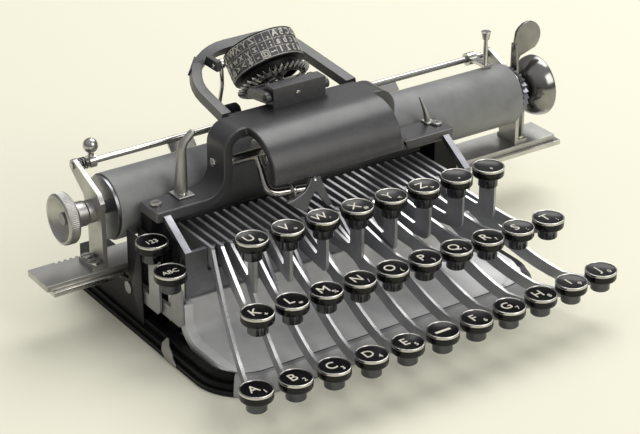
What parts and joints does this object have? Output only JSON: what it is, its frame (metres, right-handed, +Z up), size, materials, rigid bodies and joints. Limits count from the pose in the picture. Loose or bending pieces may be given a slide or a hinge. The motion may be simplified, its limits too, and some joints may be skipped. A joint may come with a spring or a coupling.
{
  "type": "portable typewriter",
  "caption": "Antique portable type-wheel typewriter with a three-row keyboard of long levers, a black bridge frame, a sliding carriage and a nickel bell.",
  "frame": {"origin": "middle of the base's underside", "axes": "+X to the typist's right, +Y to the back, +Z up"},
  "size_m": [0.3005, 0.1856, 0.1234],
  "materials": {
    "japan": "gloss",
    "nickel": "polished",
    "steel": "satin",
    "tray": "satin",
    "key_lever": "satin",
    "key_cap": "gloss",
    "platen_rubber": "matte",
    "ink_felt": "matte"
  },
  "bodies": {
    "base": {"base_frame": "japan", "key_tray": "tray", "lever_comb": "steel", "pivot_shaft": "steel", "upper_frame": "japan", "rear_loop": "japan", "bearing_block": "japan", "hood_linkage": "nickel", "paper_guides": "nickel", "frame_screws": "nickel", "hold_down_clips": "nickel"},
    "carriage": {"carriage_plate": "nickel", "carriage_strip": "nickel", "left_bracket": "nickel", "right_bracket": "nickel", "bell": "nickel", "rod_spring": "steel", "carriage_screws": "nickel"},
    "platen": {"platen_core": "steel", "platen_rubber": "platen_rubber", "platen_knob": "nickel"},
    "wheel_arm": {"wheel_arm": "steel"},
    "type_wheel": {"type_wheel": "japan", "wheel_gear": "steel"},
    "ink_arm": {"ink_arm": "nickel"},
    "ink_roller": {"ink_roller": "ink_felt"},
    "line_space_lever": {"line_space_lever": "nickel"},
    "paper_rod": {"paper_rod": "nickel"},
    "release_lever": {"release_lever": "nickel"},
    "figures_key": {"figures_key": "key_lever"},
    "capitals_key": {"capitals_key": "key_lever"},
    "key_front_1": {"key_front_1": "key_lever"},
    "key_front_2": {"key_front_2": "key_lever"},
    "key_front_3": {"key_front_3": "key_lever"},
    "key_front_4": {"key_front_4": "key_lever"},
    "key_front_5": {"key_front_5": "key_lever"},
    "key_front_6": {"key_front_6": "key_lever"},
    "key_front_7": {"key_front_7": "key_lever"},
    "key_front_8": {"key_front_8": "key_lever"},
    "key_front_9": {"key_front_9": "key_lever"},
    "key_front_10": {"key_front_10": "key_lever"},
    "key_front_11": {"key_front_11": "key_lever"},
    "key_middle_1": {"key_middle_1": "key_lever"},
    "key_middle_2": {"key_middle_2": "key_lever"},
    "key_middle_3": {"key_middle_3": "key_lever"},
    "key_middle_4": {"key_middle_4": "key_lever"},
    "key_middle_5": {"key_middle_5": "key_lever"},
    "key_middle_6": {"key_middle_6": "key_lever"},
    "key_middle_7": {"key_middle_7": "key_lever"},
    "key_middle_8": {"key_middle_8": "key_lever"},
    "key_middle_9": {"key_middle_9": "key_lever"},
    "key_middle_10": {"key_middle_10": "key_lever"},
    "key_back_1": {"key_back_1": "key_lever"},
    "key_back_2": {"key_back_2": "key_lever"},
    "key_back_3": {"key_back_3": "key_lever"},
    "key_back_4": {"key_back_4": "key_lever"},
    "key_back_5": {"key_back_5": "key_lever"},
    "key_back_6": {"key_back_6": "key_lever"},
    "key_back_7": {"key_back_7": "key_lever"},
    "key_back_8": {"key_back_8": "key_lever"}
  },
  "joints": [
    {"name": "carriage_slide", "type": "slide", "parent": "base", "child": "carriage", "axis": [1, 0, 0], "range_m": [-0.1, 0.055]},
    {"name": "platen_spin", "type": "hinge", "parent": "carriage", "child": "platen", "pos_m": [0, 0.032, 0.0555], "axis": [1, 0, 0], "continuous": true},
    {"name": "wheel_swing", "type": "hinge", "parent": "base", "child": "wheel_arm", "pos_m": [0, 0.012, 0.099], "axis": [-1, 0, 0], "range_deg": [0, 18], "stiffness_Nm_per_rad": 0.4, "springref_deg": -6.88},
    {"name": "wheel_spin", "type": "hinge", "parent": "wheel_arm", "child": "type_wheel", "pos_m": [0, 0.0383, 0.1046], "axis": [0, 0.7193, 0.6947], "continuous": true},
    {"name": "ink_arm_swing", "type": "hinge", "parent": "base", "child": "ink_arm", "pos_m": [-0.0215, 0.043, 0.1065], "axis": [1, 0, 0], "range_deg": [0, 12]},
    {"name": "ink_roller_spin", "type": "hinge", "parent": "ink_arm", "child": "ink_roller", "pos_m": [-0.0149, 0.047, 0.0785], "axis": [1, 0, 0], "continuous": true},
    {"name": "line_space_swing", "type": "hinge", "parent": "carriage", "child": "line_space_lever", "pos_m": [0.1495, 0.032, 0.0555], "axis": [1, 0, 0], "range_deg": [0, 28], "stiffness_Nm_per_rad": 0.05, "springref_deg": -5.73},
    {"name": "paper_rod_turn", "type": "hinge", "parent": "carriage", "child": "paper_rod", "pos_m": [0, 0.048, 0.072], "axis": [1, 0, 0], "range_deg": [0, 50]},
    {"name": "release_turn", "type": "hinge", "parent": "carriage", "child": "release_lever", "pos_m": [0.1315, 0.048, 0.072], "axis": [-1, 0, 0], "range_deg": [0, 25]},
    {"name": "figures_press", "type": "hinge", "parent": "base", "child": "figures_key", "pos_m": [0, 0.016, 0.02], "axis": [1, 0, 0], "range_deg": [0, 5], "stiffness_Nm_per_rad": 0.5, "springref_deg": -3.72},
    {"name": "capitals_press", "type": "hinge", "parent": "base", "child": "capitals_key", "pos_m": [0, 0.016, 0.02], "axis": [1, 0, 0], "range_deg": [0, 5], "stiffness_Nm_per_rad": 0.5, "springref_deg": -3.72},
    {"name": "key_front_1_press", "type": "hinge", "parent": "base", "child": "key_front_1", "pos_m": [0, 0.016, 0.02], "axis": [1, 0, 0], "range_deg": [0, 3.5], "stiffness_Nm_per_rad": 0.5, "springref_deg": -3.72},
    {"name": "key_front_2_press", "type": "hinge", "parent": "base", "child": "key_front_2", "pos_m": [0, 0.016, 0.02], "axis": [1, 0, 0], "range_deg": [0, 3.5], "stiffness_Nm_per_rad": 0.5, "springref_deg": -3.72},
    {"name": "key_front_3_press", "type": "hinge", "parent": "base", "child": "key_front_3", "pos_m": [0, 0.016, 0.02], "axis": [1, 0, 0], "range_deg": [0, 3.5], "stiffness_Nm_per_rad": 0.5, "springref_deg": -3.72},
    {"name": "key_front_4_press", "type": "hinge", "parent": "base", "child": "key_front_4", "pos_m": [0, 0.016, 0.02], "axis": [1, 0, 0], "range_deg": [0, 3.5], "stiffness_Nm_per_rad": 0.5, "springref_deg": -3.72},
    {"name": "key_front_5_press", "type": "hinge", "parent": "base", "child": "key_front_5", "pos_m": [0, 0.016, 0.02], "axis": [1, 0, 0], "range_deg": [0, 3.5], "stiffness_Nm_per_rad": 0.5, "springref_deg": -3.72},
    {"name": "key_front_6_press", "type": "hinge", "parent": "base", "child": "key_front_6", "pos_m": [0, 0.016, 0.02], "axis": [1, 0, 0], "range_deg": [0, 3.5], "stiffness_Nm_per_rad": 0.5, "springref_deg": -3.72},
    {"name": "key_front_7_press", "type": "hinge", "parent": "base", "child": "key_front_7", "pos_m": [0, 0.016, 0.02], "axis": [1, 0, 0], "range_deg": [0, 3.5], "stiffness_Nm_per_rad": 0.5, "springref_deg": -3.72},
    {"name": "key_front_8_press", "type": "hinge", "parent": "base", "child": "key_front_8", "pos_m": [0, 0.016, 0.02], "axis": [1, 0, 0], "range_deg": [0, 3.5], "stiffness_Nm_per_rad": 0.5, "springref_deg": -3.72},
    {"name": "key_front_9_press", "type": "hinge", "parent": "base", "child": "key_front_9", "pos_m": [0, 0.016, 0.02], "axis": [1, 0, 0], "range_deg": [0, 3.5], "stiffness_Nm_per_rad": 0.5, "springref_deg": -3.72},
    {"name": "key_front_10_press", "type": "hinge", "parent": "base", "child": "key_front_10", "pos_m": [0, 0.016, 0.02], "axis": [1, 0, 0], "range_deg": [0, 3.5], "stiffness_Nm_per_rad": 0.5, "springref_deg": -3.72},
    {"name": "key_front_11_press", "type": "hinge", "parent": "base", "child": "key_front_11", "pos_m": [0, 0.016, 0.02], "axis": [1, 0, 0], "range_deg": [0, 3.5], "stiffness_Nm_per_rad": 0.5, "springref_deg": -3.72},
    {"name": "key_middle_1_press", "type": "hinge", "parent": "base", "child": "key_middle_1", "pos_m": [0, 0.016, 0.02], "axis": [1, 0, 0], "range_deg": [0, 3.5], "stiffness_Nm_per_rad": 0.5, "springref_deg": -3.72},
    {"name": "key_middle_2_press", "type": "hinge", "parent": "base", "child": "key_middle_2", "pos_m": [0, 0.016, 0.02], "axis": [1, 0, 0], "range_deg": [0, 3.5], "stiffness_Nm_per_rad": 0.5, "springref_deg": -3.72},
    {"name": "key_middle_3_press", "type": "hinge", "parent": "base", "child": "key_middle_3", "pos_m": [0, 0.016, 0.02], "axis": [1, 0, 0], "range_deg": [0, 3.5], "stiffness_Nm_per_rad": 0.5, "springref_deg": -3.72},
    {"name": "key_middle_4_press", "type": "hinge", "parent": "base", "child": "key_middle_4", "pos_m": [0, 0.016, 0.02], "axis": [1, 0, 0], "range_deg": [0, 3.5], "stiffness_Nm_per_rad": 0.5, "springref_deg": -3.72},
    {"name": "key_middle_5_press", "type": "hinge", "parent": "base", "child": "key_middle_5", "pos_m": [0, 0.016, 0.02], "axis": [1, 0, 0], "range_deg": [0, 3.5], "stiffness_Nm_per_rad": 0.5, "springref_deg": -3.72},
    {"name": "key_middle_6_press", "type": "hinge", "parent": "base", "child": "key_middle_6", "pos_m": [0, 0.016, 0.02], "axis": [1, 0, 0], "range_deg": [0, 3.5], "stiffness_Nm_per_rad": 0.5, "springref_deg": -3.72},
    {"name": "key_middle_7_press", "type": "hinge", "parent": "base", "child": "key_middle_7", "pos_m": [0, 0.016, 0.02], "axis": [1, 0, 0], "range_deg": [0, 3.5], "stiffness_Nm_per_rad": 0.5, "springref_deg": -3.72},
    {"name": "key_middle_8_press", "type": "hinge", "parent": "base", "child": "key_middle_8", "pos_m": [0, 0.016, 0.02], "axis": [1, 0, 0], "range_deg": [0, 3.5], "stiffness_Nm_per_rad": 0.5, "springref_deg": -3.72},
    {"name": "key_middle_9_press", "type": "hinge", "parent": "base", "child": "key_middle_9", "pos_m": [0, 0.016, 0.02], "axis": [1, 0, 0], "range_deg": [0, 3.5], "stiffness_Nm_per_rad": 0.5, "springref_deg": -3.72},
    {"name": "key_middle_10_press", "type": "hinge", "parent": "base", "child": "key_middle_10", "pos_m": [0, 0.016, 0.02], "axis": [1, 0, 0], "range_deg": [0, 3.5], "stiffness_Nm_per_rad": 0.5, "springref_deg": -3.72},
    {"name": "key_back_1_press", "type": "hinge", "parent": "base", "child": "key_back_1", "pos_m": [0, 0.016, 0.02], "axis": [1, 0, 0], "range_deg": [0, 3.5], "stiffness_Nm_per_rad": 0.5, "springref_deg": -3.72},
    {"name": "key_back_2_press", "type": "hinge", "parent": "base", "child": "key_back_2", "pos_m": [0, 0.016, 0.02], "axis": [1, 0, 0], "range_deg": [0, 3.5], "stiffness_Nm_per_rad": 0.5, "springref_deg": -3.72},
    {"name": "key_back_3_press", "type": "hinge", "parent": "base", "child": "key_back_3", "pos_m": [0, 0.016, 0.02], "axis": [1, 0, 0], "range_deg": [0, 3.5], "stiffness_Nm_per_rad": 0.5, "springref_deg": -3.72},
    {"name": "key_back_4_press", "type": "hinge", "parent": "base", "child": "key_back_4", "pos_m": [0, 0.016, 0.02], "axis": [1, 0, 0], "range_deg": [0, 3.5], "stiffness_Nm_per_rad": 0.5, "springref_deg": -3.72},
    {"name": "key_back_5_press", "type": "hinge", "parent": "base", "child": "key_back_5", "pos_m": [0, 0.016, 0.02], "axis": [1, 0, 0], "range_deg": [0, 3.5], "stiffness_Nm_per_rad": 0.5, "springref_deg": -3.72},
    {"name": "key_back_6_press", "type": "hinge", "parent": "base", "child": "key_back_6", "pos_m": [0, 0.016, 0.02], "axis": [1, 0, 0], "range_deg": [0, 3.5], "stiffness_Nm_per_rad": 0.5, "springref_deg": -3.72},
    {"name": "key_back_7_press", "type": "hinge", "parent": "base", "child": "key_back_7", "pos_m": [0, 0.016, 0.02], "axis": [1, 0, 0], "range_deg": [0, 3.5], "stiffness_Nm_per_rad": 0.5, "springref_deg": -3.72},
    {"name": "key_back_8_press", "type": "hinge", "parent": "base", "child": "key_back_8", "pos_m": [0, 0.016, 0.02], "axis": [1, 0, 0], "range_deg": [0, 3.5], "stiffness_Nm_per_rad": 0.5, "springref_deg": -3.72}
  ]
}
